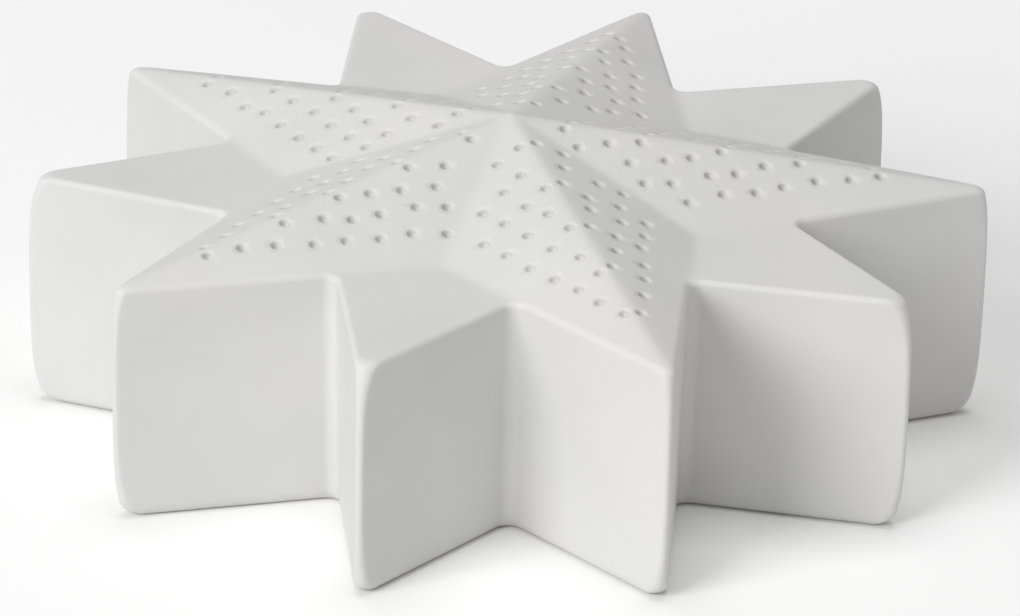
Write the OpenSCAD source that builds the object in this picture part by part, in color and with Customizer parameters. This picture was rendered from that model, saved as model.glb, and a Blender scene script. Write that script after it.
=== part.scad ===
// Ten-pointed porcelain star that stands over an LED tealight.
// The origin is the centre of the base, on the table. +Z is up, +X runs along one raised arm.

/* [Star] */
// Radius of the circle through the ten sharp tip corners
tip_r = 80; // [76:1:90]
// Radius of the notches between the tips, at the top of the walls
notch_r = 47.8; // [46:0.1:52]
// Height of the side walls
wall_h = 40; // [40:1:50]
// Height of the raised star above the walls
relief_h = 12; // [8:1:16]
// How much further in the notches are at the base than at the top
notch_draft = 1.5; // [0:0.1:2]
// How much further in the tips are at the base than at the top
tip_draft = 0.5; // [0:0.1:1]

/* [Star edges] */
// Rounding of the top and bottom edges
edge_r = 1.6; // [1:0.1:2]
// Rounding of the upright edge at each tip
tip_round = 1.1; // [0.8:0.1:2]
// Rounding of the upright corner in each notch
notch_round = 3.5; // [1:0.1:5]

/* [Star inside] */
// Thickness of the cast porcelain
skin_t = 3.5; // [3:0.1:4.5]
// Radius of the opening in the floor
opening_r = 27; // [24:0.5:30]

/* [Tealight cup] */
// Outer radius of the cup, as on a standard tealight
cup_r = 19; // [18.8:0.1:20]
// Height of the cup
cup_h = 16; // [15.5:0.1:18]
// Wall thickness of the cup
cup_t = 1.2; // [0.8:0.1:1.4]
// Height of the flame's tip above the table
flame_top = 34; // [30:1:38]

/* [Battery cap] */
// Radius of the twist-lock cap
cap_r = 11; // [10.8:0.1:11.2]
// Running clearance around the cap
cap_gap = 0.1; // [0.05:0.01:0.15]
// Turn that unlocks the cap
cap_turn = 30; // [20:1:40]

/* [Switch] */
// Travel of the switch knob
knob_travel = 2.5; // [2:0.1:3]

/* [Hidden] */

eps = 0.01;
tips = 10;
half_step = 180 / tips;             // angle from a tip to the next notch
arm_step = 4 * half_step;           // angle from one raised arm to the next
tip_arc_steps = 4;                  // an even number, so that a point lies on the ridge
notch_arc_steps = 4;
edge_steps = 3;
smooth = 96;

// star
floor_t = skin_t;
slip_r = 0.4;                       // smallest rounding left on an inset tip

// levels inside the tealight, upwards from the table
plate_z = 1.6;
plate_t = 2;
plate_top = plate_z + plate_t;
cap_t = 1.4;
cell_r = 10;
cell_t = 3.2;
cell_z = plate_z + cap_t;
contact_t = 0.25;
board_z = 9;
board_t = 1;
led_z = 12.5;
wax_z = 13;
wax_t = 1.4;
bay_x = -5.6;                       // centre of the battery bay
bay_wall = 0.9;
bay_gap = 0.35;                     // room around the cell
switch_x = 11.6;                    // centre line of the switch
switch_w = 3.6;
switch_l = 8.6;
switch_h = 3.4;
switch_z = board_z - switch_h;
lug_r = cap_r + 1;                  // bayonet lugs of the battery cap
lug_a = 24;
lug_h = 0.6;
lug_z = plate_z + 0.6;
lug_gap = 0.12;
led_r = 2.5;
led_pitch = 1.27;
lead_r = 0.25;
flame_r = 5.4;
knob_w = 1.6;
knob_pad_w = 3;
knob_pad_l = 4;
knob_gap = 0.3;

// Half the angle of a tip whose corner is at radius t and whose notch is at radius n
function half_angle(t, n) = atan2(n * sin(half_step), t - n * cos(half_step));

function polar(r, a) = [r * cos(a), r * sin(a)];

// Rounded outline of the star, moved inwards by inset. tip and notch are the sharp corners' radii,
// rt and rn are the roundings of the tips and the notches.
function star_outline(tip, notch, inset, rt, rn) = let(
    h = half_angle(tip, notch),
    tip_c = tip - (inset + rt) / sin(h),
    notch_c = notch + (rn - inset) / sin(h + half_step)
) [for (k = [0 : tips - 1]) let(a = 2 * half_step * k, b = a + half_step) each concat(
    [for (i = [0 : tip_arc_steps])
        polar(tip_c, a) + polar(rt, a + (90 - h) * (2 * i / tip_arc_steps - 1))],
    [for (i = [0 : notch_arc_steps])
        polar(notch_c, b) - polar(rn, b + (90 - h - half_step) * (1 - 2 * i / notch_arc_steps))]
)];

// Outline at height z of the drafted walls
function wall_outline(z, inset) = let(down = 1 - z / wall_h) star_outline(
    tip_r - tip_draft * down, notch_r - notch_draft * down,
    inset, max(tip_round - inset, slip_r), notch_round + inset);

// Distance from the axis to the foot line of a raised facet
function foot_line(inset) = tip_r * sin(half_angle(tip_r, notch_r)) - inset;

// Rise of the raised star over a foot that is inset
function relief_rise(inset) = relief_h * foot_line(inset) / foot_line(edge_r);

// Height of the raised star at point p
function relief_z(p, inset) = let(
    h = half_angle(tip_r, notch_r),
    a = atan2(p.y, p.x),
    q = polar(norm(p), abs(a - arm_step * round(a / arm_step)))
) relief_rise(inset) * max(0, 1 - (q.x * sin(h) + q.y * cos(h)) / foot_line(inset));

// Solid through a list of [height, outline] rings, closed below by a flat face and above by the
// raised star. The top ring is inset.
module star_body(rings, inset) {
    h = half_angle(tip_r, notch_r);
    m = tip_arc_steps + notch_arc_steps + 2;    // points from one tip to the next
    n = tips * m;
    mid = tip_arc_steps / 2;
    top = (len(rings) - 1) * n;
    top_z = rings[len(rings) - 1][0];
    valley = foot_line(inset) / sin(180 - arm_step / 2 - h);
    apex = top + n;
    walls = [for (ring = rings) for (p = ring[1])
        [p.x, p.y, ring[0] + (ring[0] == top_z ? relief_z(p, inset) : 0)]];
    crown = concat([[0, 0, top_z + relief_rise(inset)]],
        [for (k = [0 : 4]) let(p = polar(valley, arm_step * (k + 0.5))) [p.x, p.y, top_z]],
        [[0, 0, rings[0][0]]]);
    base = apex + 6;
    sides = [for (j = [0 : len(rings) - 2]) for (i = [0 : n - 1]) let(
        a = j * n + i, b = j * n + (i + 1) % n
    ) each [[a, a + n, b + n], [a, b + n, b]]];
    // each arm has a facet on either side of its ridge, and a flat low tip after it
    facets = [for (k = [0 : 4]) let(
        first = 2 * k * m, before = (first + n - 1) % n,
        next = apex + 1 + k, last = apex + 1 + (k + 4) % 5
    ) each [
        concat([apex, next], [for (i = [tip_arc_steps + 1 : -1 : mid]) top + first + i]),
        concat([apex], [for (i = [mid : -1 : 0]) top + first + i], [top + before, last]),
        concat([next], [for (i = [2 * m - 1 : -1 : tip_arc_steps + 1]) top + first + i])]];
    polyhedron(concat(walls, crown),
        concat([for (i = [0 : n - 1]) [i, (i + 1) % n, base]], sides, facets));
}

module star_outside() {
    foot = [for (i = [0 : edge_steps]) let(a = 90 * i / edge_steps, z = edge_r * (1 - cos(a)))
        [z, wall_outline(z, edge_r * (1 - sin(a)))]];
    brim = [for (i = [0 : edge_steps]) let(a = 90 * i / edge_steps, z = wall_h - edge_r * (1 - sin(a)))
        [z, wall_outline(z, edge_r * (1 - cos(a)))]];
    star_body(concat(foot, brim), edge_r);
}

module star_inside() {
    inset = skin_t + edge_r;
    star_body([
        [floor_t, star_outline(tip_r - tip_draft, notch_r - notch_draft, skin_t, tip_round,
            notch_round + skin_t)],
        [wall_h - 2 * skin_t, star_outline(tip_r, notch_r, skin_t, tip_round, notch_round + skin_t)],
        [wall_h - skin_t, star_outline(tip_r, notch_r, inset, tip_round, notch_round + inset)]], inset);
}

module star_shell() {
    color("white") difference() {
        star_outside();
        star_inside();
        translate([0, 0, -1]) cylinder(h = floor_t + 2, r = opening_r, $fn = smooth);
    }
}

// Cup with a bead at the rim, a seat for the wax disc and a ledge above the base plate
module tealight_cup() {
    inner = cup_r - cup_t;
    ledge = plate_top;
    color("gainsboro") rotate_extrude($fn = smooth) polygon([
        [inner, 0], [cup_r - 0.5, 0], [cup_r - 0.1, 0.4], [cup_r - 0.3, 2],
        [cup_r - 0.3, cup_h - 1.4], [cup_r, cup_h - 1], [cup_r, cup_h - 0.3], [cup_r - 0.3, cup_h],
        [inner + 0.2, cup_h], [inner, cup_h - 0.2], [inner, wax_z], [inner - 0.8, wax_z],
        [inner - 0.8, wax_z - 0.8], [inner, wax_z - 1.6], [inner, ledge + 0.8], [inner - 0.8, ledge + 0.8],
        [inner - 0.8, ledge], [inner, ledge]]);
}

// Sector-shaped lug of the twist-lock, on the cap's axis
module lug(r, a, z, h) {
    translate([0, 0, z]) rotate([0, 0, -a / 2])
        rotate_extrude(angle = a, $fn = smooth) translate([cap_r - 1, 0]) square([r - cap_r + 1, h]);
}

module base_plate() {
    plate_r = cup_r - cup_t - 0.05;
    color("gainsboro") difference() {
        union() {
            translate([0, 0, plate_z]) cylinder(h = plate_t, r = plate_r, $fn = smooth);
            // wall of the battery bay
            translate([bay_x, 0, plate_top - 0.5])
                cylinder(h = cell_z + cell_t - plate_top + 0.5, r = cell_r + bay_gap + bay_wall, $fn = smooth);
            // posts under the circuit board
            for (a = [50, 115, 245, 310]) rotate([0, 0, a]) translate([14.6, 0, plate_top - 0.5])
                cylinder(h = board_z - plate_top + 0.5, r = 1, $fn = 24);
        }
        translate([bay_x, 0, plate_z - 1]) {
            cylinder(h = cap_t + 1 + cap_gap, r = cap_r + cap_gap, $fn = smooth);
            cylinder(h = cell_t + 5, r = cell_r + bay_gap, $fn = smooth);
        }
        // gap that the side contact stands in
        translate([bay_x + cell_r - 1, -3, plate_top + 0.2]) cube([4, 6, cell_t]);
        // groove that the lugs turn in, and the two slots that let them out
        translate([bay_x, 0, lug_z - lug_gap])
            cylinder(h = lug_h + 2 * lug_gap, r = lug_r + lug_gap, $fn = smooth);
        for (side = [0, 180]) translate([bay_x, 0, 0]) rotate([0, 0, 90 + side + cap_turn])
            lug(lug_r + 2 * lug_gap, lug_a + 4, plate_z - 1, lug_z - plate_z + 1);
        // slot for the switch knob
        translate([switch_x - knob_w / 2 - knob_gap, -(knob_w + knob_travel) / 2 - knob_gap, plate_z - 1])
            cube([knob_w + 2 * knob_gap, knob_w + knob_travel + 2 * knob_gap, plate_t + 2]);
    }
}

module battery_cap() {
    color("gainsboro") translate([bay_x, 0, 0]) difference() {
        union() {
            translate([0, 0, plate_z]) cylinder(h = cap_t, r = cap_r, $fn = smooth);
            for (side = [0, 180]) rotate([0, 0, 90 + side]) lug(lug_r, lug_a, lug_z, lug_h);
        }
        // coin slot
        translate([-7, -0.9, plate_z - 1]) cube([14, 1.8, 1.7]);
    }
}

module coin_cell() {
    color("silver") translate([bay_x, 0, cell_z]) union() {
        cylinder(h = cell_t - 0.5, r = cell_r, $fn = smooth);
        translate([0, 0, cell_t - 0.5 - eps]) cylinder(h = 0.5 + eps, r = cell_r - 1.2, $fn = smooth);
    }
}

// Strip that presses on the rim of the cell and rises to the board
module contact_plus() {
    x = bay_x + cell_r;
    color("darkgoldenrod") {
        translate([x, -2, plate_top + 0.4]) cube([contact_t, 4, board_z - plate_top - 0.4]);
        translate([x, -2, board_z - contact_t]) cube([3, 4, contact_t]);
    }
}

// Strip that lies on top of the cell and rises to the board
module contact_minus() {
    z = cell_z + cell_t;
    color("darkgoldenrod") {
        translate([bay_x - 6, -2, z]) cube([12, 4, contact_t]);
        translate([bay_x - 6, -2, z]) cube([contact_t, 4, board_z - z]);
        translate([bay_x - 9, -2, board_z - contact_t]) cube([3 + contact_t, 4, contact_t]);
    }
}

module circuit_board() {
    color("darkgreen") difference() {
        translate([0, 0, board_z]) cylinder(h = board_t, r = 16.2, $fn = smooth);
        for (side = [-1, 1]) translate([side * led_pitch, 0, board_z - 1])
            cylinder(h = board_t + 2, r = lead_r + 0.05, $fn = 24);
    }
}

module switch_frame() {
    color("dimgray") difference() {
        translate([switch_x - switch_w / 2, -switch_l / 2, switch_z]) cube([switch_w, switch_l, switch_h]);
        translate([switch_x - knob_w / 2 - knob_gap, -(knob_w + knob_travel) / 2 - knob_gap, switch_z - 1])
            cube([knob_w + 2 * knob_gap, knob_w + knob_travel + 2 * knob_gap, 2.5]);
    }
}

// Stem that enters the switch, with a ribbed pad under the base plate
module switch_knob() {
    y = -knob_travel / 2;
    pad_z = 0.5;
    color("dimgray") {
        translate([switch_x - knob_w / 2, y - knob_w / 2, pad_z + eps])
            cube([knob_w, knob_w, switch_z + 1.2 - pad_z]);
        difference() {
            translate([switch_x - knob_pad_w / 2, y - knob_pad_l / 2, pad_z])
                cube([knob_pad_w, knob_pad_l, plate_z - pad_z - 0.2]);
            for (i = [-1 : 1]) translate([switch_x - knob_pad_w, y + i * 1.1 - 0.25, pad_z - 0.2])
                cube([2 * knob_pad_w, 0.5, 0.5]);
        }
    }
}

module led_bulb() {
    color("moccasin") translate([0, 0, led_z]) {
        cylinder(h = 1, r = led_r + 0.4, $fn = 48);
        translate([0, 0, 1 - eps]) cylinder(h = 4.6 + eps, r = led_r, $fn = 48);
        translate([0, 0, 5.6]) sphere(r = led_r, $fn = 48);
    }
}

module led_leads() {
    color("silver") for (side = [-1, 1])
        translate([side * led_pitch, 0, board_z - 0.6])
            cylinder(h = led_z - board_z + 0.6, r = lead_r, $fn = 24);
}

// Disc that looks like wax, dished towards the flame
module wax_top() {
    outer = cup_r - cup_t - 0.05;
    color("ivory") rotate_extrude($fn = smooth) polygon([
        [flame_r + 0.1, wax_z], [outer, wax_z], [outer, wax_z + wax_t],
        [outer - 1.5, wax_z + wax_t - 0.2], [outer - 6, wax_z + wax_t - 0.4],
        [flame_r + 0.1, wax_z + wax_t - 0.4]]);
}

// Hollow flame: an ogive of two arcs around the LED
module flame_cap() {
    base_z = wax_z - 0.6;
    belly_z = wax_z + 5;
    tall = flame_top - belly_z;
    steps = 12;
    arc_r = (tall * tall + flame_r * flame_r) / (2 * flame_r);   // arc from the belly to the tip
    side = [for (i = [0 : steps]) let(z = tall * i / steps)
        [max(sqrt(arc_r * arc_r - z * z) - arc_r + flame_r, 0), belly_z + z]];
    inner_r = led_r + 0.9;
    inner_top = led_z + 9.5;
    color("moccasin") rotate_extrude($fn = smooth) polygon(concat(
        [[inner_r, base_z], [flame_r - 0.6, base_z], [flame_r - 0.3, wax_z + 1]],
        side,
        [[0, inner_top + 1.5], [inner_r * 0.7, inner_top], [inner_r, inner_top - 2]]));
}

star_shell();
tealight_cup();
base_plate();
battery_cap();
coin_cell();
contact_plus();
contact_minus();
circuit_board();
switch_frame();
switch_knob();
led_bulb();
led_leads();
wax_top();
flame_cap();
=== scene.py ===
import math
import random

import bpy
import numpy as np
from mathutils import Matrix, Vector, noise
from mathutils.geometry import delaunay_2d_cdt


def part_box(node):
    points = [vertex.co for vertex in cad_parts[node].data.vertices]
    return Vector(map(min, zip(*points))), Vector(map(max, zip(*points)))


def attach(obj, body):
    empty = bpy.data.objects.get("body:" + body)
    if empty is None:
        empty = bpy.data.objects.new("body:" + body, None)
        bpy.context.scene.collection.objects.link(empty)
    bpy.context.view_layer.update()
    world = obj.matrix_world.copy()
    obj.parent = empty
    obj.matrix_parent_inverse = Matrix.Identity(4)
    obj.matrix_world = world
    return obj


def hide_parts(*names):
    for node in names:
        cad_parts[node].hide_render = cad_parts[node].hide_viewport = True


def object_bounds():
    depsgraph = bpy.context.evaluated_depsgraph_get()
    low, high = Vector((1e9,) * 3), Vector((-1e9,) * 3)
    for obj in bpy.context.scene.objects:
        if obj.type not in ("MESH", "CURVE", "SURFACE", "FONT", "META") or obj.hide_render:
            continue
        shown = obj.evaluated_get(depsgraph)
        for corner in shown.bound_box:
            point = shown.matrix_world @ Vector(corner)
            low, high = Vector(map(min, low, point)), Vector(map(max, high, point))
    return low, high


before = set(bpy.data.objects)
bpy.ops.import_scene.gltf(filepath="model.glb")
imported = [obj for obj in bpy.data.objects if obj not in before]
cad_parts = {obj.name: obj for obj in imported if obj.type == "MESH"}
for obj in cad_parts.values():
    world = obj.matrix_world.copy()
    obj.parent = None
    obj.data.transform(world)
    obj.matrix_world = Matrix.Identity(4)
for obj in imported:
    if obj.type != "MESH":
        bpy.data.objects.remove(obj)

bl_info = {
    "name": "Porcelain Star Tealight Holder",
    "version": (1, 0, 0),
    "blender": (4, 5, 0),
    "location": "View3D > Sidebar > Star Holder",
    "description": "Builds a slip-cast porcelain star and the LED tealight under it",
    "category": "Object",
}

CAD_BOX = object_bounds()
TIPS = 10
ARMS = TIPS // 2                  # arms of the raised star, over every other tip
HALF_STEP = math.radians(180 / TIPS)  # from a tip to the next notch
ARM_STEP = 4 * HALF_STEP          # from one raised arm to the next
MM = 0.001

# the star's smaller measures, in millimetres
NOTCH_DRAFT = 1.5                 # how much further in the notches are at the foot
TIP_DRAFT = 0.5                   # how much further in the tips are at the foot
NOTCH_ROUND = 2.0                 # rounding of the upright corners in the notches
TIP_SOFT_RAISED, TIP_SOFT_LOW = 0.8, 1.7  # added to the tips' rounding at the top
TIP_SOFT_FOOT = 1.5               # and at the foot
FADE_TOP, FADE_FOOT = 3.5, 4.0    # how soon that fades towards the middle of the wall
FOOT_ROUND = (1.5, 2.4)           # how far the foot's rounding reaches in and up
FOOT_FLAT = 0.3                   # first flat strip inside it
TIP_THIN = 0.6                    # how much of an inset the tips' rounding loses
RIDGE_SOFT = 1.0                  # rounding of the ridges of the raised star
CREASE_SOFT = 0.16                # softness of its valleys and of its foot
PAST_AXIS = 0.08                  # how fast an arm's facets sink beyond the axis
INSIDE_TIP, INSIDE_NOTCH = 2.0, 5.5  # roundings of the hollow's corners
INSIDE_TIP_LEAST = 0.4
LIP_ROUND, LIP_BEVEL, LIP_FLAT = 0.6, 0.18, 0.9  # the opening's lip: rounding, its middle, its flats
INSIDE_EDGE = 2.0                 # rounding of the hollow's floor and ceiling
PLATE_THICKNESS = 2.0             # base plate of the tealight

# where the pits may stand, in millimetres, and how a hand's work varies
ROW_LEAN = math.radians(1.4)      # turns the rows a little towards the axis
ROW_START, ROW_START_LUCK = 2.6, 1.8  # first pit from the ridge, and how much later it may come
ROW_LEAST = 2.5                   # no row runs closer than this to the axis
RIDGE_CLEAR, VALLEY_CLEAR, APEX_CLEAR = 1.3, 1.6, 4
PITCH_LUCK = (0.93, 1.07)         # share of the pitch from one pit to the next
DEPTH_LUCK = (0.8, 1.15)          # share of the depth
PIT_WALL, PIT_FLOOR = 2.1, 1.2    # powers that make the pits' walls steep and floors round
PIT_PAINTED_SHADE = 0.55                   # painted shade: how far the pits' walls turn to a darker grey, at a mark of 1
PIT_RINGS = (0.13, 0.26, 0.4, 0.54, 0.68, 0.82, 0.95, 1.08)  # shares of the pit's radius

STRETCH = 12                      # length of a scratch in metal, over its width

# how finely the star is drawn
ARC_STEPS = 12
SIDE_POINTS = (0.015, 0.08, 0.25, 0.5, 0.75, 0.92, 0.985)
TRIANGLE = 0.866                  # height of a triangle with sides of 1
TOP_SPACING, TOP_FINE, TOP_REACH = 1.1, 0.55, 1.9  # lattice under the relief, in millimetres
INSIDE_SPACING, INSIDE_FINE, INSIDE_REACH = 3.6, 1.8, 2.5  # and under the hollow's ceiling
BRIM_CLEAR, RIM_CLEAR, PIT_CLEAR = 0.3, 0.1, 1.25
WALL_LEVELS = (0.01, 0.03, 0.07, 0.13, 0.2, 0.3, 0.5, 0.7, 0.8, 0.87, 0.93, 0.97, 0.99)

# studio: the surround's strength; the softboxes' places, sizes in metres and powers in watts
SURROUND = 0.36
SOFTBOXES = (
    ("key softbox", (-1.6, -1.6, 1.25), (1.3, 1.3), 40),
    ("overhead softbox", (0.0, 0.1, 2.6), (1.5, 1.5), 23),
)
LIGHTS_AIM = (0, 0, 0.03)         # where both softboxes point
FLOOR_HALF = 3.0                  # half the floor's side, in metres
FLOOR_GAP = 0.1 * MM              # keeps the floor just clear of the foot
VIEW_LENS = 317.6
VIEW_DISTANCE = 1.4782
VIEW_ELEVATION = math.radians(24.82)
VIEW_BEARING = math.radians(-91.29)
VIEW_ROLL = math.radians(1.37)
VIEW_AIM = (0.0009, 0.0158, 0.0)  # what the camera looks at, in its own axes, from the star's base


# ---- colours, nodes and materials

def linear(code):
    """Linear colour of an sRGB hex value such as #E8E6E1."""
    parts = [int(code[i:i + 2], 16) / 255 for i in (1, 3, 5)]
    return tuple(c / 12.92 if c <= 0.04045 else ((c + 0.055) / 1.055) ** 2.4 for c in parts)


def add(tree, kind, settings=None, **inputs):
    """Adds a node. settings are its own values; inputs are numbers, or sockets to link from."""
    node = tree.nodes.new(kind)
    for name, value in (settings or {}).items():
        setattr(node, name, value)
    for name, value in inputs.items():
        socket = node.inputs[int(name[1:])] if name[0] == "_" else node.inputs[name.replace("_", " ")]
        if isinstance(value, bpy.types.NodeSocket):
            tree.links.new(value, socket)
        else:
            socket.default_value = value
    return node


def surface(name, **shader):
    """A material with one principled shader, and the tree to add patterns to."""
    material = bpy.data.materials.new(name)
    material.use_nodes = True
    tree = material.node_tree
    tree.nodes.clear()
    bsdf = add(tree, "ShaderNodeBsdfPrincipled", None)
    for socket, value in shader.items():
        bsdf.inputs[socket.replace("_", " ")].default_value = value
    out = add(tree, "ShaderNodeOutputMaterial")
    tree.links.new(bsdf.outputs["BSDF"], out.inputs["Surface"])
    return material, tree, bsdf


def place(tree):
    """Object coordinates in metres."""
    return add(tree, "ShaderNodeTexCoord").outputs["Object"]


def grain(tree, size, detail=2.0, rough=0.5):
    """Noise whose blotches are about size metres across."""
    return add(tree, "ShaderNodeTexNoise", None, Vector=place(tree), Scale=0.5 / size,
               Detail=detail, Roughness=rough).outputs["Fac"]


def blend_colours(tree, factor, low, high, start=0.35, end=0.65):
    ramp = add(tree, "ShaderNodeValToRGB", None, Fac=factor)
    ramp.color_ramp.elements[0].position = start
    ramp.color_ramp.elements[1].position = end
    ramp.color_ramp.elements[0].color = (*low, 1)
    ramp.color_ramp.elements[1].color = (*high, 1)
    return ramp.outputs["Color"]


def spread(tree, factor, low, high):
    """Stretches a noise's middle range to run from low to high."""
    return add(tree, "ShaderNodeMapRange", None, Value=factor, From_Min=0.3, From_Max=0.7,
               To_Min=low, To_Max=high).outputs["Result"]


def bumps(tree, bsdf, *layers):
    """Stacks (height socket, depth in metres) layers of relief on the shader's normal."""
    normal = None
    for height, depth in layers:
        node = add(tree, "ShaderNodeBump", None, Height=height, Distance=depth, Strength=1.0)
        if normal is not None:
            tree.links.new(normal, node.inputs["Normal"])
        normal = node.outputs["Normal"]
    tree.links.new(normal, bsdf.inputs["Normal"])


def bisque_porcelain(finish):
    """Slip-cast porcelain fired without glaze: a dry, even white with faint warm clouds, a fine
    sanded grain, and light that goes a little way into the body."""
    material, tree, bsdf = surface("Bisque porcelain, slip-cast and sponged", Roughness=0.62, IOR=1.5,
                                   Subsurface_Weight=0.12, Subsurface_Scale=0.0012,
                                   Subsurface_Radius=(1.0, 0.85, 0.7), Specular_IOR_Level=0.3)
    clouds = grain(tree, 14 * MM, 3, 0.55)
    base = blend_colours(tree, clouds, linear(finish.cool), linear(finish.body))
    warm = grain(tree, 26 * MM, 2, 0.4)
    tint = add(tree, "ShaderNodeMapRange", None, Value=warm, From_Min=0.5, From_Max=0.7,
               To_Min=0.0, To_Max=0.35).outputs["Result"]
    mix = add(tree, "ShaderNodeMix", {"data_type": "RGBA"})
    tree.links.new(tint, mix.inputs[0])
    tree.links.new(base, mix.inputs[6])
    mix.inputs[7].default_value = (*linear(finish.warm), 1)
    # painted shade: the pits' walls are turned towards a darker grey so that the pits look shaded
    pit = add(tree, "ShaderNodeAttribute", {"attribute_name": "pit"}).outputs["Fac"]
    depth = add(tree, "ShaderNodeMath", {"operation": "MULTIPLY"}, _0=pit, _1=PIT_PAINTED_SHADE).outputs[0]
    shaded = add(tree, "ShaderNodeMix", {"data_type": "RGBA"}, _0=depth, _6=mix.outputs[2])
    shaded.inputs[7].default_value = (*linear(finish.pit), 1)
    tree.links.new(shaded.outputs[2], bsdf.inputs["Base Color"])
    # the grain is drawn at 0.35 mm, coarser than real porcelain's, so that it still shows
    tree.links.new(spread(tree, grain(tree, 0.5 * MM, 2), 0.56, 0.70), bsdf.inputs["Roughness"])
    bumps(tree, bsdf, (grain(tree, 9 * MM, 2, 0.4), 0.10 * MM), (grain(tree, 0.35 * MM, 3, 0.6), 0.02 * MM))
    return material


def moulded(name, colour, roughness=0.35, texture=0.15 * MM, depth=0.004 * MM, **more):
    """Injection-moulded plastic with a spark-eroded texture and slight flow marks."""
    material, tree, bsdf = surface(name, IOR=1.5, **more)
    shade = linear(colour)
    dark = tuple(0.93 * c for c in shade)
    tree.links.new(blend_colours(tree, grain(tree, 6 * MM, 2), dark, shade), bsdf.inputs["Base Color"])
    tree.links.new(spread(tree, grain(tree, 1.2 * MM), roughness - 0.05, roughness + 0.08),
                   bsdf.inputs["Roughness"])
    bumps(tree, bsdf, (grain(tree, texture, 2), depth))
    return material


def laminate(colour):
    """Glass-epoxy board under a green lacquer: the weave of the glass cloth shows faintly."""
    material, tree, bsdf = surface("Glass-epoxy laminate, lacquered", Roughness=0.3, IOR=1.52,
                                   Coat_Weight=0.4, Coat_Roughness=0.15)
    # the cloth is drawn at 0.5 mm a thread so that it still shows
    thread = 0.5 * MM
    weave = None
    for direction in ("X", "Y"):
        bands = add(tree, "ShaderNodeTexWave", {"bands_direction": direction}, Vector=place(tree),
                    Scale=math.pi / 10 / thread, Distortion=0.4).outputs["Fac"]
        weave = bands if weave is None else add(tree, "ShaderNodeMath", {"operation": "MULTIPLY"},
                                                _0=weave, _1=bands).outputs[0]
    shade = linear(colour)
    tree.links.new(blend_colours(tree, weave, tuple(0.8 * c for c in shade), shade, 0.1, 0.9),
                   bsdf.inputs["Base Color"])
    bumps(tree, bsdf, (weave, 0.006 * MM))
    return material


def cast_epoxy(colour):
    """Clear epoxy cast round the light chip: glassy, tinted amber, with a faint inner haze."""
    material, tree, bsdf = surface("Amber epoxy, cast", IOR=1.54, Transmission_Weight=0.75)
    shade = linear(colour)
    tree.links.new(blend_colours(tree, grain(tree, 1.5 * MM), tuple(0.9 * c for c in shade), shade),
                   bsdf.inputs["Base Color"])
    tree.links.new(spread(tree, grain(tree, 0.8 * MM), 0.08, 0.16), bsdf.inputs["Roughness"])
    return material


def metal(name, colour, roughness, scratch=0.12 * MM):
    """Rolled strip or drawn wire: fine lines along the rolling direction."""
    material, tree, bsdf = surface(name, Metallic=1.0)
    shade = linear(colour)
    stretched = add(tree, "ShaderNodeMapping", None, Vector=place(tree), Scale=(1.0, STRETCH, 1.0))
    lines = add(tree, "ShaderNodeTexNoise", None, Vector=stretched.outputs["Vector"],
                Scale=0.5 / (STRETCH * scratch), Detail=3.0).outputs["Fac"]
    tree.links.new(blend_colours(tree, lines, tuple(0.8 * c for c in shade), shade),
                   bsdf.inputs["Base Color"])
    tree.links.new(spread(tree, lines, roughness - 0.06, roughness + 0.08), bsdf.inputs["Roughness"])
    bumps(tree, bsdf, (lines, 0.003 * MM))
    return material


# ---- mesh helpers

def mesh_object(name, points, faces, material, smooth=True):
    """An object at the origin, with its place in its mesh."""
    mesh = bpy.data.meshes.new(name)
    mesh.from_pydata([tuple(p) for p in points], [], [tuple(f) for f in faces])
    mesh.validate()
    mesh.polygons.foreach_set("use_smooth", [smooth] * len(mesh.polygons))
    mesh.materials.append(material)
    mesh.update()
    obj = bpy.data.objects.new(name, mesh)
    bpy.context.scene.collection.objects.link(obj)
    return obj


def bake_modifiers(obj):
    """Turns the modifiers' result into the object's own mesh."""
    bpy.context.view_layer.update()
    seen = obj.evaluated_get(bpy.context.evaluated_depsgraph_get())
    mesh = bpy.data.meshes.new_from_object(seen, preserve_all_data_layers=True,
                                           depsgraph=bpy.context.evaluated_depsgraph_get())
    obj.modifiers.clear()
    mesh.name = obj.name
    obj.data = mesh
    return obj


def rounded(corners, steps=5):
    """Closed profile through corners (radius, height, rounding), with an arc at each rounded corner."""
    profile = []
    for i, (x, y, q) in enumerate(corners):
        corner = Vector((x, y))
        if q == 0:
            profile.append((x, y))
            continue
        before = (Vector(corners[i - 1][:2]) - corner).normalized()
        after = (Vector(corners[(i + 1) % len(corners)][:2]) - corner).normalized()
        half = before.angle(after) / 2
        centre = corner + (before + after).normalized() * (q / math.sin(half))
        start = corner + before * (q / math.tan(half)) - centre
        end = corner + after * (q / math.tan(half)) - centre
        for k in range(steps + 1):
            spoke = (start * (1 - k / steps) + end * (k / steps)).normalized() * q
            profile.append(tuple(centre + spoke))
    return profile


def denser(profile, step):
    """The same closed profile with points no further than step apart."""
    points = []
    for p, q in zip(profile, profile[1:] + profile[:1]):
        count = max(math.ceil(math.dist(p, q) / step), 1)
        points += [(p[0] + (q[0] - p[0]) * k / count, p[1] + (q[1] - p[1]) * k / count) for k in range(count)]
    return points


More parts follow.
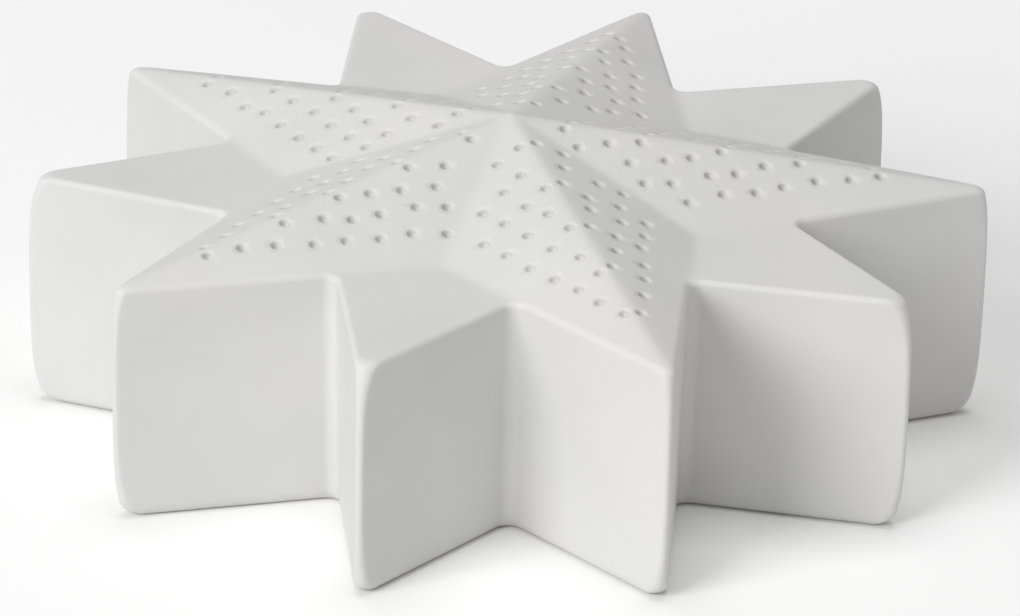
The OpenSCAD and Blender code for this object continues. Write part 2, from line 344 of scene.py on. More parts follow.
def turned(name, profile, material, steps=128, stray=None):
    """Closed piece turned from a profile of (radius, height) in millimetres. stray moves each point a
    little, as hand or heat would. Points on the axis become one pole."""
    points, rows = [], []
    for r, z in profile:
        count = 1 if r < 1e-6 else steps
        rows.append(range(len(points), len(points) + count))
        for i in range(count):
            t = math.tau * i / steps
            p = Vector((r * math.cos(t), r * math.sin(t), z))
            points.append(p + stray(p) if stray else p)
    faces = []
    open_ends = len(rows[0]) == 1
    for k in range(len(rows) - 1 if open_ends else len(rows)):
        low, high = rows[k], rows[(k + 1) % len(rows)]
        for i in range(steps):
            j = (i + 1) % steps
            ring = [low[i % len(low)], low[j % len(low)], high[j % len(high)], high[i % len(high)]]
            faces.append(list(dict.fromkeys(ring)))
    volume = sum(points[f[0]].dot(points[f[k]].cross(points[f[k + 1]])) for f in faces
                 for k in range(1, len(f) - 1))
    if volume < 0:
        faces = [f[::-1] for f in faces]
    obj = mesh_object(name, [p * MM for p in points], faces, material)
    obj.data.set_sharp_from_angle(angle=math.radians(50))
    return obj


# ---- the star's shape, in millimetres

class StarShape:
    """The star's outline and heights, from its driving sizes."""

    def __init__(self, sizes):
        self.tip = sizes.tip_radius / MM
        self.notch = sizes.notch_radius / MM
        self.wall = sizes.wall_height / MM
        self.relief = sizes.relief_height / MM
        self.edge = sizes.edge_radius / MM
        self.skin = sizes.skin / MM
        self.opening = sizes.opening_radius / MM
        self.tip_edge = sizes.tip_edge / MM
        self.half = self.half_angle(self.tip, self.notch)

    @staticmethod
    def half_angle(tip, notch):
        return math.atan2(notch * math.sin(HALF_STEP), tip - notch * math.cos(HALF_STEP))

    def outline(self, tip, notch, inset, tip_rounds, notch_round):
        """Rounded ten-pointed outline, moved inwards by inset. tip_rounds are the roundings of the raised
        and of the low tips."""
        h = self.half_angle(tip, notch)
        notch_centre = notch + (notch_round - inset) / math.sin(h + HALF_STEP)
        turn_tip = math.pi / 2 - h
        turn_notch = math.pi / 2 - h - HALF_STEP
        rows = []
        for k in range(TIPS):
            a = 2 * HALF_STEP * k
            b = a + HALF_STEP
            tip_round = tip_rounds[k % 2]
            tip_centre = tip - (inset + tip_round) / math.sin(h)
            t = a + turn_tip * np.linspace(-1, 1, ARC_STEPS + 1)
            arc = np.stack([tip_centre * math.cos(a) + tip_round * np.cos(t),
                            tip_centre * math.sin(a) + tip_round * np.sin(t)], 1)
            s = b + turn_notch * np.linspace(1, -1, ARC_STEPS + 1)
            dip = np.stack([notch_centre * math.cos(b) - notch_round * np.cos(s),
                            notch_centre * math.sin(b) - notch_round * np.sin(s)], 1)
            rows += [arc, self.between(arc[-1], dip[0]), dip]
            c = a + 2 * HALF_STEP
            start = c - turn_tip
            tip_round = tip_rounds[(k + 1) % 2]
            tip_centre = tip - (inset + tip_round) / math.sin(h)
            following = np.array([tip_centre * math.cos(c) + tip_round * math.cos(start),
                                  tip_centre * math.sin(c) + tip_round * math.sin(start)])
            rows.append(self.between(dip[-1], following))
        return np.concatenate(rows)

    @staticmethod
    def between(p, q):
        """Points along a straight edge, closest together near its ends."""
        return np.array([p + (q - p) * s for s in SIDE_POINTS])

    def foot(self, inset):
        """Distance from the axis to the line at the foot of a raised facet."""
        return self.tip * math.sin(self.half) - inset

    def raised(self, x, y, inset=0.0):
        """Height of the raised star over the top of the walls, with softened ridges and creases."""
        rise = self.relief * self.foot(inset) / self.foot(0)
        total = np.ones_like(x)
        for k in range(ARMS):
            a = k * ARM_STEP
            along = x * math.cos(a) + y * math.sin(a)
            across = np.sqrt((y * math.cos(a) - x * math.sin(a)) ** 2 + RIDGE_SOFT ** 2)
            face = 1 - (along * math.sin(self.half) + across * math.cos(self.half)) / self.foot(inset)
            face -= PAST_AXIS * np.maximum(-along, 0)
            total += np.exp(np.clip(rise * face / CREASE_SOFT, -60, 90))
        return CREASE_SOFT * np.log(total)

    def tip_rounds(self, z, inset):
        """Rounding of the upright edges of the raised and the low tips: fine in the middle, and sponged
        softer at both ends, most of all on top of the low tips."""
        top = math.exp(-(self.wall - z) / FADE_TOP)
        foot = math.exp(-z / FADE_FOOT)
        return [self.tip_edge + soft * top + TIP_SOFT_FOOT * foot - TIP_THIN * inset
                for soft in (TIP_SOFT_RAISED, TIP_SOFT_LOW)]

    def drafted(self, z):
        """Radii of the tips and of the notches at level z."""
        down = 1 - z / self.wall
        return self.tip - TIP_DRAFT * down, self.notch - NOTCH_DRAFT * down

    def wall_ring(self, z, inset):
        """Ring of points of the outer wall at level z."""
        ring = self.outline(*self.drafted(z), inset, self.tip_rounds(z, inset), NOTCH_ROUND + inset)
        return self.lifted(ring, z)

    def inner_ring(self, z, inset, height):
        """Ring of points of the hollow: its outline at level z, moved in by inset, lifted to height."""
        tip_round = max(INSIDE_TIP - inset, INSIDE_TIP_LEAST)
        ring = self.outline(*self.drafted(z), self.skin + inset, [tip_round] * 2, INSIDE_NOTCH + inset)
        return self.lifted(ring, height)

    @staticmethod
    def lifted(ring, z):
        return np.column_stack([ring, np.full(len(ring), float(z))])

    def outside_rings(self):
        """Rings from the brim of the relief down the wall to the flat foot."""
        rings = []
        for a in np.linspace(90, 0, 11):
            t = math.radians(a)
            ring = self.wall_ring(self.wall - self.edge * (1 - math.sin(t)), self.edge * (1 - math.cos(t)))
            ring[:, 2] += self.raised(ring[:, 0], ring[:, 1])
            rings.append(ring)
        top = self.wall - self.edge
        inwards, low = FOOT_ROUND
        rings += [self.wall_ring(top + (low - top) * share, 0) for share in WALL_LEVELS]
        for a in np.linspace(0, 90, 9):
            t = math.radians(a)
            rings.append(self.wall_ring(low * (1 - math.sin(t)), inwards * (1 - math.cos(t))))
        rings.append(self.wall_ring(0, inwards + FOOT_FLAT))
        return rings

    def circle(self, like, radius, z):
        """Circle whose points stand at the same angles as another ring's."""
        a = np.arctan2(like[:, 1], like[:, 0])
        return self.lifted(np.stack([radius * np.cos(a), radius * np.sin(a)], 1), z)

    def inside_rings(self, foot):
        """Rings from the flat foot through the opening and up the inner wall."""
        r, soft, bevel, flat = self.opening, LIP_ROUND, LIP_BEVEL, LIP_FLAT
        lip = [(r + flat, 0), (r + soft, 0), (r + bevel, bevel), (r, soft), (r, flat)]
        rings = [self.circle(foot, radius, z) for radius, z in lip]
        rings += [self.circle(foot, radius, self.skin - z) for radius, z in reversed(lip)]
        for a in np.linspace(90, 0, 6):
            t = math.radians(a)
            rings.append(self.inner_ring(self.skin, INSIDE_EDGE * (1 - math.cos(t)),
                                         self.skin + INSIDE_EDGE * (1 - math.sin(t))))
        ceiling = self.wall - self.skin
        for share in (0.1, 0.4, 0.7, 0.95):
            z = self.skin + INSIDE_EDGE + (ceiling - self.skin - 2 * INSIDE_EDGE) * share
            rings.append(self.inner_ring(z, 0, z))
        for a in np.linspace(0, 90, 6):
            t = math.radians(a)
            ring = self.inner_ring(ceiling, INSIDE_EDGE * (1 - math.cos(t)), ceiling)
            ring[:, 2] += self.raised(ring[:, 0], ring[:, 1], self.skin) - INSIDE_EDGE * (1 - math.sin(t))
            rings.append(ring)
        return rings

    def creases(self):
        """Ridges, valleys and foot creases of the relief, as pairs of points."""
        valley = self.foot(0) / math.sin(math.pi - ARM_STEP / 2 - self.half)
        lines = []
        for k in range(ARMS):
            a = k * ARM_STEP
            v = a + ARM_STEP / 2
            v_point = (valley * math.cos(v), valley * math.sin(v))
            lines.append(((0, 0), (self.tip * math.cos(a), self.tip * math.sin(a))))
            lines.append(((0, 0), v_point))
            for side in (-1, 1):
                n = v + side * HALF_STEP
                lines.append((v_point, (self.notch * math.cos(n), self.notch * math.sin(n))))
        return [(np.array(p), np.array(q)) for p, q in lines]

    def pit_centres(self, sizes):
        """Hand-poked rows on each raised facet, side by side with the facet's outer edge."""
        rng = random.Random(sizes.seed)
        first, step, pitch = sizes.first_row / MM, sizes.row_step / MM, sizes.pit_pitch / MM
        wander = sizes.wander / MM
        centres = []
        for k in range(ARMS):
            for side in (-1, 1):
                row = 0
                while self.foot(0) - first - row * step > ROW_LEAST:
                    start = (self.foot(0) - first - row * step) / math.sin(self.half)
                    along = ROW_START + rng.uniform(0, ROW_START_LUCK)
                    while True:
                        d = self.half - ROW_LEAN
                        x = start - along * math.cos(d)
                        y = along * math.sin(d)
                        valley = x * math.sin(ARM_STEP / 2) - y * math.cos(ARM_STEP / 2)
                        if valley < VALLEY_CLEAR or x < APEX_CLEAR:
                            break
                        x += rng.gauss(0, wander)
                        y = max(y + rng.gauss(0, wander), RIDGE_CLEAR)
                        a = k * ARM_STEP
                        centres.append((x * math.cos(a) - side * y * math.sin(a),
                                        x * math.sin(a) + side * y * math.cos(a)))
                        along += pitch * rng.uniform(*PITCH_LUCK)
                    row += 1
        return np.array(centres)


def distance_to(points, p, q):
    """Distance of each point from the segment p-q."""
    d = q - p
    t = np.clip(((points - p) @ d) / (d @ d), 0, 1)
    return np.hypot(*(points - (p + t[:, None] * d)).T)


def within(points, ring, margin):
    """True for the points that lie inside a closed ring, at least margin from it."""
    x, y = points[:, 0], points[:, 1]
    inside = np.zeros(len(points), bool)
    clear = np.ones(len(points), bool)
    for p, q in zip(ring, np.roll(ring, -1, axis=0)):
        crosses = (p[1] > y) != (q[1] > y)
        with np.errstate(divide="ignore", invalid="ignore"):
            at = (q[0] - p[0]) * (y - p[1]) / (q[1] - p[1]) + p[0]
        inside ^= crosses & (x < at)
        clear &= distance_to(points, p, q) > margin
    return inside & clear


def fill(ring, inner, height):
    """Triangles that fill a ring through the inner points. Returns the inner points' heights and the
    triangles, with the ring's points numbered first."""
    flat = np.concatenate([ring[:, :2], inner])
    n = len(ring)
    edges = [(i, (i + 1) % n) for i in range(n)]
    found = delaunay_2d_cdt([Vector(p) for p in flat], edges, [], 1, 1e-7)
    origin = [ids[0] for ids in found[3]]
    triangles = [tuple(origin[i] for i in f) for f in found[2]]
    return height(inner[:, 0], inner[:, 1]), triangles


def lattice(shape, ring, spacing, fine, reach):
    """Points of a triangular lattice inside the ring, finer near the relief's creases."""
    r = shape.tip
    rows = int(r / (fine * TRIANGLE)) + 1
    columns = int(r / fine) + 1
    i, j = np.meshgrid(np.arange(-columns, columns + 1), np.arange(-rows, rows + 1))
    points = np.stack([(i + 0.5 * (j % 2)) * fine, j * fine * TRIANGLE], -1).reshape(-1, 2)
    share = max(int(round(spacing / fine)), 1)
    coarse = ((i % share == 0) & (j % share == 0)).reshape(-1)
    near = np.zeros(len(points), bool)
    for p, q in shape.creases():
        near |= distance_to(points, p, q) < reach
    points = points[coarse | near]
    return points[within(points, ring[:, :2], BRIM_CLEAR)]


def pit_rings(shape, centres, radius):
    """Rings of points around each pit's centre, round on the sloping facet."""
    step = 0.05
    x, y = centres[:, 0], centres[:, 1]
    slope = np.stack([(shape.raised(x + step, y) - shape.raised(x - step, y)) / (2 * step),
                      (shape.raised(x, y + step) - shape.raised(x, y - step)) / (2 * step)], 1)
    points = [centres]
    for row, share in enumerate(PIT_RINGS):
        count = 8 if row < 2 else 16
        for i in range(count):
            a = math.tau * (i + 0.5 * (row % 2)) / count
            u = np.array([math.cos(a), math.sin(a)])
            points.append(centres + (share * radius / np.sqrt(1 + (slope @ u) ** 2))[:, None] * u)
    return np.concatenate(points)


def strip(first, second, count):
    """Faces between two rings of count points that start at these numbers."""
    return [(first + i, second + i, second + (i + 1) % count, first + (i + 1) % count) for i in range(count)]


def star_mesh(shape, centres, pit_radius):
    """Points and faces of the whole shell, with points ready for the pits."""
    outside = shape.outside_rings()
    rings = outside + shape.inside_rings(outside[-1])
    count = len(rings[0])
    points = list(rings)
    faces = []
    for k in range(len(rings) - 1):
        faces += strip(k * count, (k + 1) * count, count)
    start = len(rings) * count

    brim = rings[0]
    spots = lattice(shape, brim, TOP_SPACING, TOP_FINE, TOP_REACH)
    rims = pit_rings(shape, centres, pit_radius)
    keep = np.ones(len(spots), bool)
    for c in centres:
        keep &= np.hypot(*(spots - c).T) > PIT_CLEAR * pit_radius
    inner = np.concatenate([spots[keep], rims[within(rims, brim[:, :2], RIM_CLEAR)]])
    heights, triangles = fill(brim, inner, lambda x, y: shape.wall + shape.raised(x, y))
    points.append(np.column_stack([inner, heights]))
    faces += [tuple(i if i < count else start + i - count for i in f) for f in triangles]
    start += len(inner)

    last = (len(rings) - 1) * count
    ceiling = rings[-1]
    inner = lattice(shape, ceiling, INSIDE_SPACING, INSIDE_FINE, INSIDE_REACH)
    heights, triangles = fill(ceiling, inner,
                              lambda x, y: shape.wall - shape.skin + shape.raised(x, y, shape.skin))
    points.append(np.column_stack([inner, heights]))
    faces += [tuple(last + i if i < count else start + i - count for i in f[::-1]) for f in triangles]
    return np.concatenate(points) * MM, faces


# ---- geometry nodes

def socket(tree, name, kind, side="INPUT", default=None):
    """Gives a node tree a named input or output."""
    made = tree.interface.new_socket(name=name, in_out=side, socket_type=kind)
    if default is not None:
        made.default_value = default
    return made


def pit_tree():
    """Pokes a blind pit into the surface around each centre, each one a little deeper or shallower."""
    tree = bpy.data.node_groups.new("Poked pits", "GeometryNodeTree")
    socket(tree, "Geometry", "NodeSocketGeometry")
    socket(tree, "Pit centres", "NodeSocketObject")
    socket(tree, "Pit radius", "NodeSocketFloat", default=0.0008)
    socket(tree, "Pit depth", "NodeSocketFloat", default=0.0005)
    socket(tree, "Seed", "NodeSocketInt", default=1)
    socket(tree, "Material", "NodeSocketMaterial")
    socket(tree, "Geometry", "NodeSocketGeometry", "OUTPUT")
    given = add(tree, "NodeGroupInput").outputs
    centres = add(tree, "GeometryNodeObjectInfo", None, Object=given["Pit centres"]).outputs["Geometry"]
    near = add(tree, "GeometryNodeProximity", {"target_element": "POINTS"}, _0=centres).outputs["Distance"]
    which = add(tree, "GeometryNodeSampleNearest", {"domain": "POINT"}, _0=centres).outputs["Index"]
    luck = add(tree, "FunctionNodeRandomValue", {"data_type": "FLOAT"}, _2=DEPTH_LUCK[0], _3=DEPTH_LUCK[1],
               ID=which, Seed=given["Seed"]).outputs[1]
    share = add(tree, "ShaderNodeMath", {"operation": "DIVIDE"}, _0=near, _1=given["Pit radius"])
    square = add(tree, "ShaderNodeMath", {"operation": "POWER"}, _0=share.outputs[0], _1=PIT_WALL)
    left = add(tree, "ShaderNodeMath", {"operation": "SUBTRACT", "use_clamp": True}, _0=1.0,
               _1=square.outputs[0])
    bowl = add(tree, "ShaderNodeMath", {"operation": "POWER"}, _0=left.outputs[0], _1=PIT_FLOOR)
    deep = add(tree, "ShaderNodeMath", {"operation": "MULTIPLY"}, _0=bowl.outputs[0], _1=given["Pit depth"])
    varied = add(tree, "ShaderNodeMath", {"operation": "MULTIPLY"}, _0=deep.outputs[0], _1=luck)
    down = add(tree, "ShaderNodeMath", {"operation": "MULTIPLY"}, _0=varied.outputs[0], _1=-1.0)
    normal = add(tree, "GeometryNodeInputNormal").outputs[0]
    offset = add(tree, "ShaderNodeVectorMath", {"operation": "SCALE"}, _0=normal, Scale=down.outputs[0])
    poked = add(tree, "GeometryNodeSetPosition", None, Geometry=given["Geometry"], Offset=offset.outputs[0])
    # measured on the poked surface: up to 0.35 on a pit's walls, and nearly 0 at its bottom; the material
    # paints shade into the pits where it is high
    marked = add(tree, "GeometryNodeStoreNamedAttribute", {"data_type": "FLOAT", "domain": "POINT"},
                 Geometry=poked.outputs[0], Name="pit", Value=left.outputs[0])
    real = add(tree, "GeometryNodeRealizeInstances", None, Geometry=marked.outputs[0])
    painted = add(tree, "GeometryNodeSetMaterial", None, Geometry=real.outputs[0], Material=given["Material"])
    add(tree, "NodeGroupOutput", None, _0=painted.outputs[0])
    return tree


def apply_tree(obj, tree, **values):
    """Runs a geometry node tree on the object with these named inputs, and keeps its result as a mesh."""
    modifier = obj.modifiers.new(tree.name, "NODES")
    modifier.node_group = tree
    for item in tree.interface.items_tree:
        key = item.name.lower().replace(" ", "_")
        if item.item_type == "SOCKET" and item.in_out == "INPUT" and key in values:
            modifier[item.identifier] = values[key]
    return bake_modifiers(obj)


# ---- sizes and colours a user would change

class StarSizes(bpy.types.PropertyGroup):
    tip_radius: bpy.props.FloatProperty(name="Tip radius", description="Radius of the sharp tip corners",
                                        default=79.4 * MM, unit="LENGTH", subtype="DISTANCE")
    tip_edge: bpy.props.FloatProperty(name="Tip edge", description="Rounding of the tips' upright edges",
                                      default=0.75 * MM, unit="LENGTH", subtype="DISTANCE")
    notch_radius: bpy.props.FloatProperty(name="Notch radius", description="Radius of the notches",
                                          default=47.8 * MM, unit="LENGTH", subtype="DISTANCE")
    wall_height: bpy.props.FloatProperty(name="Wall height", description="Height of the side walls",
                                         default=40 * MM, unit="LENGTH", subtype="DISTANCE")
    relief_height: bpy.props.FloatProperty(name="Relief height", description="Rise of the raised star",
                                           default=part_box("star_shell")[1].z - 40 * MM,
                                           unit="LENGTH", subtype="DISTANCE")
    edge_radius: bpy.props.FloatProperty(name="Edge radius", description="Rounding of the top edges",
                                         default=1.0 * MM, unit="LENGTH", subtype="DISTANCE")
    skin: bpy.props.FloatProperty(name="Wall thickness", description="Thickness of the cast porcelain",
                                  default=3.5 * MM, unit="LENGTH", subtype="DISTANCE")
    opening_radius: bpy.props.FloatProperty(name="Opening radius", description="Opening in the floor",
                                            default=27 * MM, unit="LENGTH", subtype="DISTANCE")
    pit_radius: bpy.props.FloatProperty(name="Pit radius", description="Radius of a poked pit",
                                        default=0.95 * MM, unit="LENGTH", subtype="DISTANCE")
    pit_depth: bpy.props.FloatProperty(name="Pit depth", description="Depth of a poked pit",
                                       default=1.15 * MM, unit="LENGTH", subtype="DISTANCE")
    pit_pitch: bpy.props.FloatProperty(name="Pit pitch", description="Distance between pits in a row",
                                       default=5.6 * MM, unit="LENGTH", subtype="DISTANCE")
    first_row: bpy.props.FloatProperty(name="First row", description="First row from the facet's edge",
                                       default=6.7 * MM, unit="LENGTH", subtype="DISTANCE")
    row_step: bpy.props.FloatProperty(name="Row step", description="Distance between rows",
                                      default=5.0 * MM, unit="LENGTH", subtype="DISTANCE")
    wander: bpy.props.FloatProperty(name="Wander", description="How far a pit strays from its place",
                                    default=0.35 * MM, unit="LENGTH", subtype="DISTANCE")
    seed: bpy.props.IntProperty(name="Seed", description="Changes the hand-made irregularity", default=4)


class TealightSizes(bpy.types.PropertyGroup):
    cup_radius: bpy.props.FloatProperty(name="Cup radius", description="Outer radius of the tealight's cup",
                                        default=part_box("tealight_cup")[1].x,
                                        unit="LENGTH", subtype="DISTANCE")
    cup_height: bpy.props.FloatProperty(name="Cup height", description="Height of the tealight's cup",
                                        default=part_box("tealight_cup")[1].z,
                                        unit="LENGTH", subtype="DISTANCE")
    cup_wall: bpy.props.FloatProperty(name="Cup wall", description="Wall thickness of the cup",
                                      default=1.2 * MM, unit="LENGTH", subtype="DISTANCE")
    flame_radius: bpy.props.FloatProperty(name="Flame radius", description="Widest radius of the flame",
                                          default=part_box("flame_cap")[1].x,
                                          unit="LENGTH", subtype="DISTANCE")
    flame_lean: bpy.props.FloatProperty(name="Flame lean", description="How far the flame's tip leans",
                                        default=0.9 * MM, unit="LENGTH", subtype="DISTANCE")
    wax_ripple: bpy.props.FloatProperty(name="Wax ripple", description="Unevenness of the set wax",
                                        default=0.12 * MM, unit="LENGTH", subtype="DISTANCE")


class Finishes(bpy.types.PropertyGroup):
    body: bpy.props.StringProperty(name="Porcelain", description="White of the porcelain", default="#D9D9D7")
    cool: bpy.props.StringProperty(name="Porcelain, cool", description="Cooler clouds", default="#D4D4D2")
    warm: bpy.props.StringProperty(name="Porcelain, warm", description="Faint warm clouds", default="#DCD7D3")
    # colour of the shade painted on the pits' walls
    pit: bpy.props.StringProperty(name="Pits", description="Unsponged walls of the pits", default="#8E8C89")
    cup: bpy.props.StringProperty(name="Cup", description="White of the tealight's cup", default="#EDEBE6")
    wax: bpy.props.StringProperty(name="Wax", description="Ivory of the moulded wax", default="#F1E8D2")
    flame: bpy.props.StringProperty(name="Flame", description="Amber of the flame", default="#FCEBCB")
    metal: bpy.props.StringProperty(name="Steel", description="Nickel-plated steel", default="#C9C8C3")
    bronze: bpy.props.StringProperty(name="Bronze", description="Spring bronze strip", default="#C89B5E")
    board: bpy.props.StringProperty(name="Board", description="Green of the circuit board", default="#1F5A38")
    switch: bpy.props.StringProperty(name="Switch", description="Dark grey of the switch", default="#3B3C3E")
    bulb: bpy.props.StringProperty(name="Light", description="Amber of the light's epoxy", default="#F3C98A")
    floor: bpy.props.StringProperty(name="Floor", description="Pale floor", default="#FDFDFD")


# ---- operators

def keep_piece(obj, body, slot, *nodes):
    """Makes a finished piece move with its body and stand for its CAD nodes."""
    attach(obj, body)
    if nodes:
        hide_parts(*nodes)
    return obj


def finish_node(name, material):
    """Gives a CAD node its finish."""
    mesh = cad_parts[name].data
    mesh.materials.clear()
    mesh.materials.append(material)


class STARHOLDER_OT_star(bpy.types.Operator):
    """Slip-cast porcelain star with its poked relief"""
    bl_idname = "starholder.star"
    bl_label = "Porcelain star"

    def execute(self, context):
        sizes = context.scene.star_sizes
        shape = StarShape(sizes)
        finish = bisque_porcelain(context.scene.star_finishes)
        centres = shape.pit_centres(sizes)
        points, faces = star_mesh(shape, centres, sizes.pit_radius / MM)
        star = mesh_object("porcelain_star", points, faces, finish)
        on_top = np.column_stack([centres, shape.wall + shape.raised(centres[:, 0], centres[:, 1])]) * MM
        marks = mesh_object("pit_centres", on_top, [], finish)
        apply_tree(star, pit_tree(), pit_centres=marks, pit_radius=sizes.pit_radius,
                   pit_depth=sizes.pit_depth, seed=sizes.seed, material=finish)
        bpy.data.objects.remove(marks)
        keep_piece(star, "star", "bisque_porcelain", "star_shell")
        return {"FINISHED"}


class STARHOLDER_OT_cup(bpy.types.Operator):
    """Tealight's moulded cup, with its base plate and battery cap"""
    bl_idname = "starholder.cup"
    bl_label = "Cup, base plate and battery cap"

    def execute(self, context):
        sizes = context.scene.tealight_sizes
        finish = moulded("White ABS, injection-moulded", context.scene.star_finishes.cup, 0.34)
        r = sizes.cup_radius / MM
        h = sizes.cup_height / MM
        inner = r - sizes.cup_wall / MM
        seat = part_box("wax_top")[0].z / MM            # ledge under the wax
        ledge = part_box("base_plate")[0].z / MM + PLATE_THICKNESS
        corners = [(inner, 0, 0.15), (r - 0.1, 0, 0.35), (r - 0.3, 2.0, 0.8), (r - 0.3, h - 1.5, 0.4),
                   (r, h - 1.0, 0.3), (r, h, 0.45), (inner, h, 0.4), (inner, seat, 0.1),
                   (inner - 0.8, seat, 0.1), (inner - 0.8, seat - 0.8, 0.15), (inner, seat - 1.6, 0.3),
                   (inner, ledge + 0.8, 0.1), (inner - 0.8, ledge + 0.8, 0.1),
                   (inner - 0.8, ledge, 0.1), (inner, ledge, 0.1)]
        keep_piece(turned("cup", rounded(corners), finish), "tealight", "white_abs", "tealight_cup")
        for node in ("base_plate", "battery_cap"):
            finish_node(node, finish)
        return {"FINISHED"}


class STARHOLDER_OT_wax(bpy.types.Operator):
    """Wax-like disc and frosted flame"""
    bl_idname = "starholder.wax"
    bl_label = "Wax and flame"

    def execute(self, context):
        sizes = context.scene.tealight_sizes
        finishes = context.scene.star_finishes
        wax = moulded("Ivory polypropylene, moulded to look like wax", finishes.wax, 0.3, 0.4 * MM,
                      Subsurface_Weight=0.35, Subsurface_Scale=0.0015, Subsurface_Radius=(1.0, 0.7, 0.4))
        low, high = (v.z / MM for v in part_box("wax_top"))
        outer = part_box("wax_top")[1].x / MM
        hole = sizes.flame_radius / MM + 0.1
        # a shallow pool that creeps up at the cup and at the flame
        corners = [(hole, low, 0.1), (outer, low, 0.1), (outer, high, 0.3), (outer - 1.8, high - 0.4, 1.4),
                   (outer - 6.5, high - 0.62, 3.0), (hole + 1.6, high - 0.6, 1.0), (hole, high - 0.35, 0.12)]
        ripple = sizes.wax_ripple / MM

        def set_unevenly(p):
            reach = math.hypot(p.x, p.y)
            free = min(max((outer - reach) / 2, 0), max((reach - hole) / 2, 0), 1) if p.z > low + 0.3 else 0
            return Vector((0, 0, ripple * free * noise.noise(p * 0.35)))

        pool = turned("wax_disc", denser(rounded(corners), 0.5), wax, 144, set_unevenly)
        keep_piece(pool, "tealight", "ivory_wax_plastic", "wax_top")

        frosted = moulded("Frosted polyethylene, blow-moulded", finishes.flame, 0.42, 0.3 * MM,
                          Transmission_Weight=0.12, Subsurface_Weight=0.4, Subsurface_Scale=0.003,
                          Subsurface_Radius=(1.0, 0.75, 0.4))
        foot, tip = (v.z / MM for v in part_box("flame_cap"))
        keep_piece(turned("flame", self.flame(sizes, foot, tip), frosted, 96, self.lean(sizes, foot, tip)),
                   "tealight", "flame_plastic", "flame_cap")
        return {"FINISHED"}

    @staticmethod
    def flame(sizes, foot, tip):
        """Teardrop from the tip down to the foot and up the hollow that the light stands in."""
        wide = sizes.flame_radius / MM
        tall = tip - foot
        outside = []
        for i in range(40):
            t = i / 40
            s = math.sin(math.pi * t ** 1.35 / 2) ** 1.1 if t < 1 else 1
            outside.append((wide * s * (1 - 0.06 * t ** 6), tip - tall * t))
        outside += [(wide * 0.94, foot + 0.15), (wide * 0.92, foot)]
        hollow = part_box("led_bulb")[1].x / MM + 0.6
        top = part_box("led_bulb")[1].z / MM + 1.3
        inside = [(hollow + 0.1, foot), (hollow, foot + 0.1)]
        inside += [(hollow * math.cos(a), top - hollow + hollow * math.sin(a))
                   for a in np.linspace(0, math.pi / 2, 10)[:-1]]
        return outside + inside + [(0, top)]

    @staticmethod
    def lean(sizes, foot, tip):
        """The flame is a little oval, and bends sideways towards its tip as if in a draught."""
        def move(p):
            up = max((p.z - foot) / (tip - foot) - 0.35, 0) / 0.65
            bend = sizes.flame_lean / MM * up * up
            return Vector((bend, -0.07 * p.y * min(up * 2, 1), 0))
        return move


class STARHOLDER_OT_electrics(bpy.types.Operator):
    """Light, board, switch, coin cell and its contacts"""
    bl_idname = "starholder.electrics"
    bl_label = "Electrics"

    def execute(self, context):
        finishes = context.scene.star_finishes
        finish_node("coin_cell", metal("Nickel-plated steel, pressed", finishes.metal, 0.28))
        bronze = metal("Phosphor bronze strip, stamped", finishes.bronze, 0.32)
        for node in ("contact_plus", "contact_minus"):
            finish_node(node, bronze)
        finish_node("led_leads", metal("Tinned steel wire, drawn", finishes.metal, 0.35, 0.06 * MM))
        finish_node("circuit_board", laminate(finishes.board))
        dark = moulded("Dark grey nylon, injection-moulded", finishes.switch, 0.45)
        for node in ("switch_frame", "switch_knob"):
            finish_node(node, dark)
        low, high = (v.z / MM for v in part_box("led_bulb"))
        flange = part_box("led_bulb")[1].x / MM
        r = flange - 0.4
        dome = [(r * math.cos(a), high - r + r * math.sin(a)) for a in np.linspace(math.pi / 2, 0, 16)[1:]]
        body = [(0, high)] + dome + [(r, low + 1.12), (r + 0.04, low + 1.03), (r + 0.12, low + 1.0),
                                     (flange - 0.1, low + 1.0), (flange, low + 0.9), (flange, low + 0.1),
                                     (flange - 0.1, low), (0, low)]
        light = turned("light", body, cast_epoxy(finishes.bulb), 64)
        keep_piece(light, "tealight", "amber_epoxy", "led_bulb")
        return {"FINISHED"}


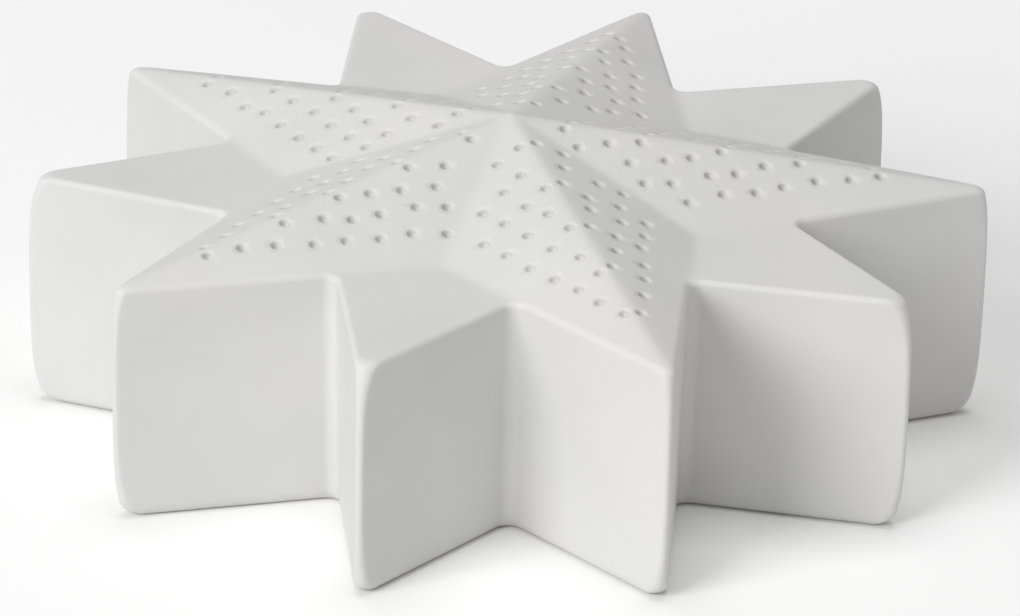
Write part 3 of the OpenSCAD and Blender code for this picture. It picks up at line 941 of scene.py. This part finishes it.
class STARHOLDER_OT_stage(bpy.types.Operator):
    """Pale floor, soft studio light and the camera"""
    bl_idname = "starholder.stage"
    bl_label = "Stage"

    def execute(self, context):
        finishes = context.scene.star_finishes
        material, tree, bsdf = surface("Matte paper floor", Roughness=0.9, Specular_IOR_Level=0.1)
        shade = linear(finishes.floor)
        tree.links.new(blend_colours(tree, grain(tree, 0.4), tuple(0.995 * c for c in shade), shade),
                       bsdf.inputs["Base Color"])
        half = FLOOR_HALF
        low = CAD_BOX[0][2] - FLOOR_GAP
        floor = mesh_object("floor", [(-half, -half, low), (half, -half, low), (half, half, low),
                                      (-half, half, low)], [(0, 1, 2, 3)], material, False)
        world = bpy.data.worlds.new("Soft surround")
        world.use_nodes = True
        background = world.node_tree.nodes["Background"]
        background.inputs["Color"].default_value = (1.0, 1.0, 1.0, 1)
        background.inputs["Strength"].default_value = SURROUND
        context.scene.world = world
        for name, place_at, size, watts in SOFTBOXES:
            light = bpy.data.lights.new(name, "AREA")
            light.shape = "RECTANGLE"
            light.size, light.size_y = size
            light.energy = watts
            box = bpy.data.objects.new(name, light)
            context.scene.collection.objects.link(box)
            box.matrix_world = looking(Vector(place_at), Vector(LIGHTS_AIM), 0)
        context.scene.view_settings.view_transform = "Standard"
        context.scene.view_settings.look = "None"
        self.camera(context)
        return {"FINISHED"}

    def camera(self, context):
        data = bpy.data.cameras.new("camera")
        data.sensor_width = 36
        data.lens = VIEW_LENS
        data.clip_end = 20
        camera = bpy.data.objects.new("camera", data)
        context.scene.collection.objects.link(camera)
        back = Vector((math.cos(VIEW_ELEVATION) * math.cos(VIEW_BEARING),
                       math.cos(VIEW_ELEVATION) * math.sin(VIEW_BEARING), math.sin(VIEW_ELEVATION)))
        eye = back * VIEW_DISTANCE
        at_base = looking(eye, Vector((0, 0, 0)), VIEW_ROLL)
        aim = at_base.to_3x3() @ Vector(VIEW_AIM)
        camera.matrix_world = looking(eye, aim, VIEW_ROLL)
        context.scene.camera = camera


def looking(eye, target, roll):
    """Matrix of something at eye that looks at target, turned about its own axis by roll."""
    turn = (target - eye).to_track_quat("-Z", "Y").to_matrix().to_4x4()
    return Matrix.Translation(eye) @ turn @ Matrix.Rotation(roll, 4, "Z")


class STARHOLDER_PT_panel(bpy.types.Panel):
    """Lists the pieces and their sizes"""
    bl_idname = "STARHOLDER_PT_panel"
    bl_label = "Star Holder"
    bl_space_type = "VIEW_3D"
    bl_region_type = "UI"
    bl_category = "Star Holder"

    def draw(self, context):
        for group in (context.scene.star_sizes, context.scene.tealight_sizes, context.scene.star_finishes):
            box = self.layout.box()
            for name in group.bl_rna.properties.keys():
                if name not in ("rna_type", "name"):
                    box.prop(group, name)
        for step in STEPS:
            self.layout.operator(step.bl_idname)


STEPS = (STARHOLDER_OT_star, STARHOLDER_OT_cup, STARHOLDER_OT_wax, STARHOLDER_OT_electrics,
         STARHOLDER_OT_stage)
CLASSES = (StarSizes, TealightSizes, Finishes, *STEPS, STARHOLDER_PT_panel)


def register():
    for cls in CLASSES:
        bpy.utils.register_class(cls)
    bpy.types.Scene.star_sizes = bpy.props.PointerProperty(type=StarSizes)
    bpy.types.Scene.tealight_sizes = bpy.props.PointerProperty(type=TealightSizes)
    bpy.types.Scene.star_finishes = bpy.props.PointerProperty(type=Finishes)


def unregister():
    del bpy.types.Scene.star_finishes
    del bpy.types.Scene.tealight_sizes
    del bpy.types.Scene.star_sizes
    for cls in reversed(CLASSES):
        bpy.utils.unregister_class(cls)


def main():
    register()
    bpy.ops.starholder.star()
    bpy.ops.starholder.cup()
    bpy.ops.starholder.wax()
    bpy.ops.starholder.electrics()
    bpy.ops.starholder.stage()


if __name__ == "__main__":
    main()
